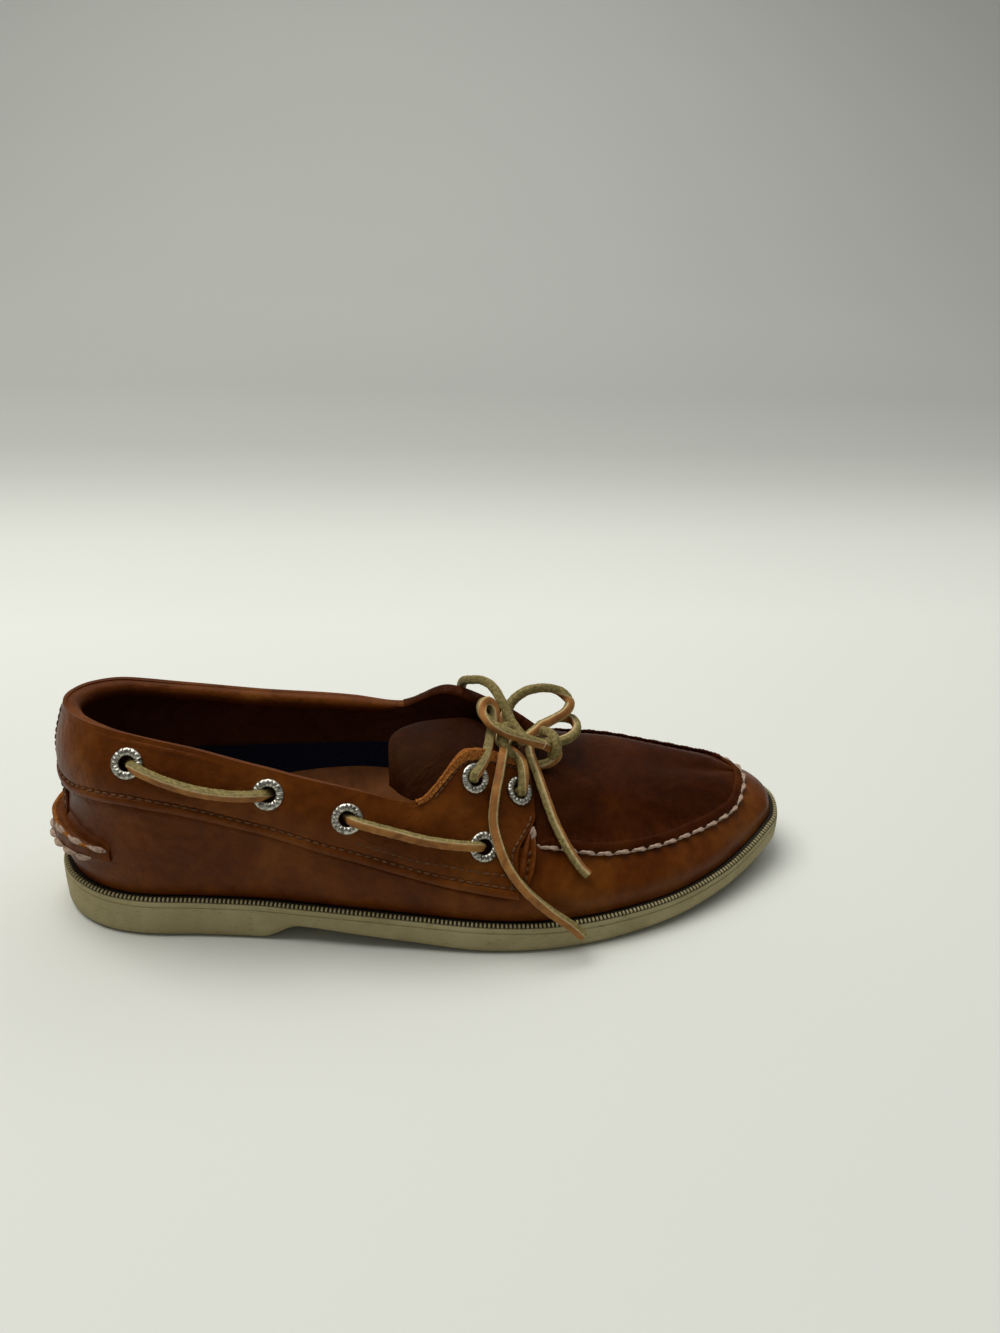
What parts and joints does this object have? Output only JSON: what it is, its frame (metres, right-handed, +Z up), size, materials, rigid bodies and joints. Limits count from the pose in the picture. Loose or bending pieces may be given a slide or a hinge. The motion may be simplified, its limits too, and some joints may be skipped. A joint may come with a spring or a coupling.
{
  "type": "boat shoe",
  "caption": "Right moccasin-toe boat shoe: brown leather upper, eyeleted collar band with square rawhide lace tied in a bow, tongue, footbed, heel lip and pale rubber sole.",
  "frame": {"origin": "middle of the base of the shoe's box without its free lace, on the floor plane", "axes": "+X from heel to toe, +Y to the inner (medial) side of this right shoe, +Z up"},
  "size_m": [0.2932, 0.1084, 0.0826],
  "materials": {
    "rubber": "pale khaki rubber, matt with faint scuffs",
    "leather": "brown pull-up leather with a soft satin sheen",
    "footbed": "smooth brown leather footbed",
    "rawhide": "square-cut rawhide, suede on two faces",
    "nickel": "worn nickel-plated eyelet"
  },
  "bodies": {
    "root": {"outsole": "rubber", "upper": "leather", "tongue": "leather", "insole": "footbed", "heel_kicker": "leather", "eyelet_side_1_lateral": "nickel", "eyelet_side_2_lateral": "nickel", "eyelet_side_3_lateral": "nickel", "eyelet_side_4_lateral": "nickel", "eyelet_throat_5_lateral": "nickel", "eyelet_throat_6_lateral": "nickel", "eyelet_side_1_medial": "nickel", "eyelet_side_2_medial": "nickel", "eyelet_side_3_medial": "nickel", "eyelet_side_4_medial": "nickel", "eyelet_throat_5_medial": "nickel", "eyelet_throat_6_medial": "nickel", "lace_bar_rear_lateral": "rawhide", "lace_bar_front_lateral": "rawhide", "lace_bar_rear_medial": "rawhide", "lace_bar_front_medial": "rawhide", "lace_throat_bar": "rawhide", "lace_knot": "rawhide", "lace_lead_lateral": "rawhide", "lace_lead_medial": "rawhide", "lace_loop_upper": "rawhide", "lace_loop_front": "rawhide", "lace_end_long": "rawhide", "lace_end_short": "rawhide"}
  },
  "joints": []
}
